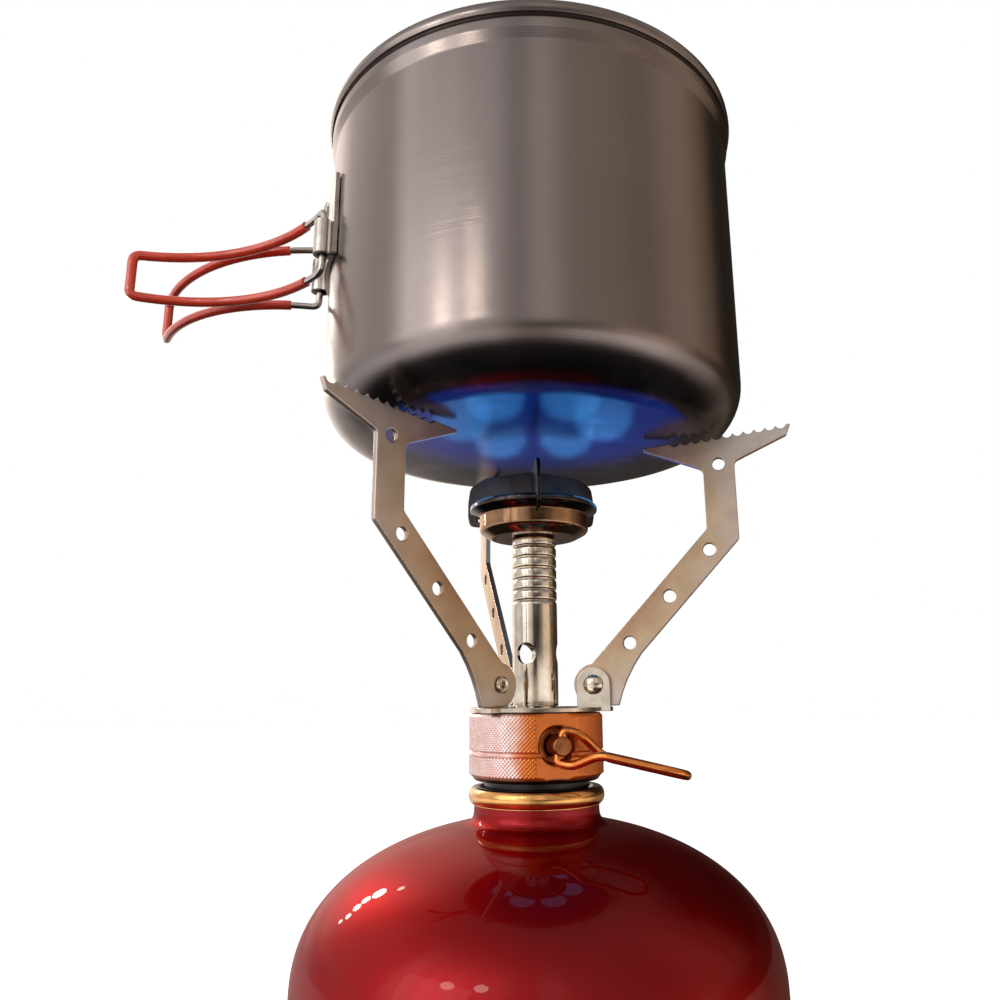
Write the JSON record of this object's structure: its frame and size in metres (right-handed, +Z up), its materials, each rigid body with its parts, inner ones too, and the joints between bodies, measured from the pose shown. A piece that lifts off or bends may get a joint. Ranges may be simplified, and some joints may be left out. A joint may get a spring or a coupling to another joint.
{
  "type": "camping stove",
  "caption": "Canister-top camping stove with folding pot arms, a knurled valve body and wire valve handle, on its domed gas cartridge, with a cooking pot that has folding wire handles.",
  "frame": {"origin": "middle of the footprint (bounding box) on the surface that the cartridge stands on", "axes": "+Z up along the burner's stem; the pot's handles point roughly along -X and the valve handle roughly along +X"},
  "size_m": [0.1718, 0.1178, 0.2621],
  "materials": {
    "cartridge_paint": "glossy red lacquer over tinplate",
    "bare_tinplate": "dull bare tinplate",
    "gold_tinplate": "glossy gold lacquered tinplate",
    "copper_anodised": "satin copper-orange anodising over fine diamond knurling",
    "copper_wire": "smooth copper-toned plated wire",
    "machined_brass": "turned",
    "nickel_plate": "bright warm nickel plate",
    "arm_steel": "lightly brushed, with heat tints at the inner tips",
    "heated_bronze": "satin, browned by heat",
    "dark_steel": "dark heat-scaled sheet",
    "spring_steel": "drawn wire and woven gauze",
    "stainless_steel": "bright satin",
    "pot_anodised": "satin hard-anodised taupe",
    "black_rubber": "moulded",
    "white_acetal": "moulded",
    "red_silicone": "satin sleeve"
  },
  "bodies": {
    "stove": {"cartridge_shell": "cartridge_paint", "cartridge_base": "bare_tinplate", "cartridge_valve_cup": "gold_tinplate", "valve_cup_gasket": "black_rubber", "cartridge_valve_housing": "white_acetal", "plunger_seal": "black_rubber", "cartridge_plunger": "machined_brass", "plunger_spring": "spring_steel", "valve_body": "copper_anodised", "thread_insert": "machined_brass", "cartridge_seal_ring": "black_rubber", "opening_pin": "machined_brass", "jet": "machined_brass", "gland_nut": "machined_brass", "arm_plate": "nickel_plate", "arm_right_rivet": "nickel_plate", "arm_left_rivet": "nickel_plate", "arm_rear_rivet": "nickel_plate", "stem_tube": "nickel_plate", "burner_cup": "heated_bronze", "burner_screen": "spring_steel", "burner_cap": "heated_bronze", "wind_clip": "dark_steel"},
    "valve_spindle": {"valve_spindle": "machined_brass", "spindle_seal_ring": "black_rubber"},
    "valve_handle": {"valve_handle": "copper_wire"},
    "arm_right": {"arm_right": "arm_steel"},
    "arm_left": {"arm_left": "arm_steel"},
    "arm_rear": {"arm_rear": "arm_steel"},
    "pot": {"pot_body": "pot_anodised", "handle_bracket": "stainless_steel", "bracket_rivet_lower": "stainless_steel", "bracket_rivet_upper": "stainless_steel"},
    "pot_handle_front": {"handle_wire_front": "stainless_steel", "handle_sleeve_front": "red_silicone"},
    "pot_handle_rear": {"handle_wire_rear": "stainless_steel", "handle_sleeve_rear": "red_silicone"}
  },
  "joints": [
    {"name": "pot_lift", "type": "slide", "parent": "stove", "child": "pot", "axis": [0, 0, 1], "range_m": [0, 0.12]},
    {"name": "arm_right_fold", "type": "hinge", "parent": "stove", "child": "arm_right", "pos_m": [0.03653, -0.00474, 0.11349], "axis": [-0.2419, -0.9703, 0], "range_deg": [0, 28]},
    {"name": "arm_left_fold", "type": "hinge", "parent": "stove", "child": "arm_left", "pos_m": [0.01359, -0.01521, 0.11349], "axis": [-0.7193, 0.6947, 0], "range_deg": [0, 28]},
    {"name": "arm_rear_fold", "type": "hinge", "parent": "stove", "child": "arm_rear", "pos_m": [0.01599, 0.00989, 0.11349], "axis": [0.9613, 0.2756, 0], "range_deg": [0, 28]},
    {"name": "valve_turn", "type": "hinge", "parent": "stove", "child": "valve_spindle", "pos_m": [0.02204, -0.00336, 0.09999], "axis": [0.309, -0.9511, 0], "range_deg": [-30, 210]},
    {"name": "handle_fold", "type": "hinge", "parent": "valve_spindle", "child": "valve_handle", "pos_m": [0.02742, -0.0199, 0.09999], "axis": [0.2301, 0.0748, 0.9703], "range_deg": [-126, 4]},
    {"name": "pot_handle_front_swing", "type": "hinge", "parent": "pot", "child": "pot_handle_front", "pos_m": [-0.02919, -0.02834, 0.22127], "axis": [0, 0, 1], "range_deg": [0, 148]},
    {"name": "pot_handle_rear_swing", "type": "hinge", "parent": "pot", "child": "pot_handle_rear", "pos_m": [-0.03465, -0.00931, 0.22127], "axis": [0, 0, 1], "range_deg": [-86, 0]}
  ],
  "couplings": [
    {"joint": "arm_right_fold", "follows": "pot_lift", "rad_per_m": 4.07},
    {"joint": "arm_left_fold", "follows": "pot_lift", "rad_per_m": 4.07},
    {"joint": "arm_rear_fold", "follows": "pot_lift", "rad_per_m": 4.07}
  ]
}
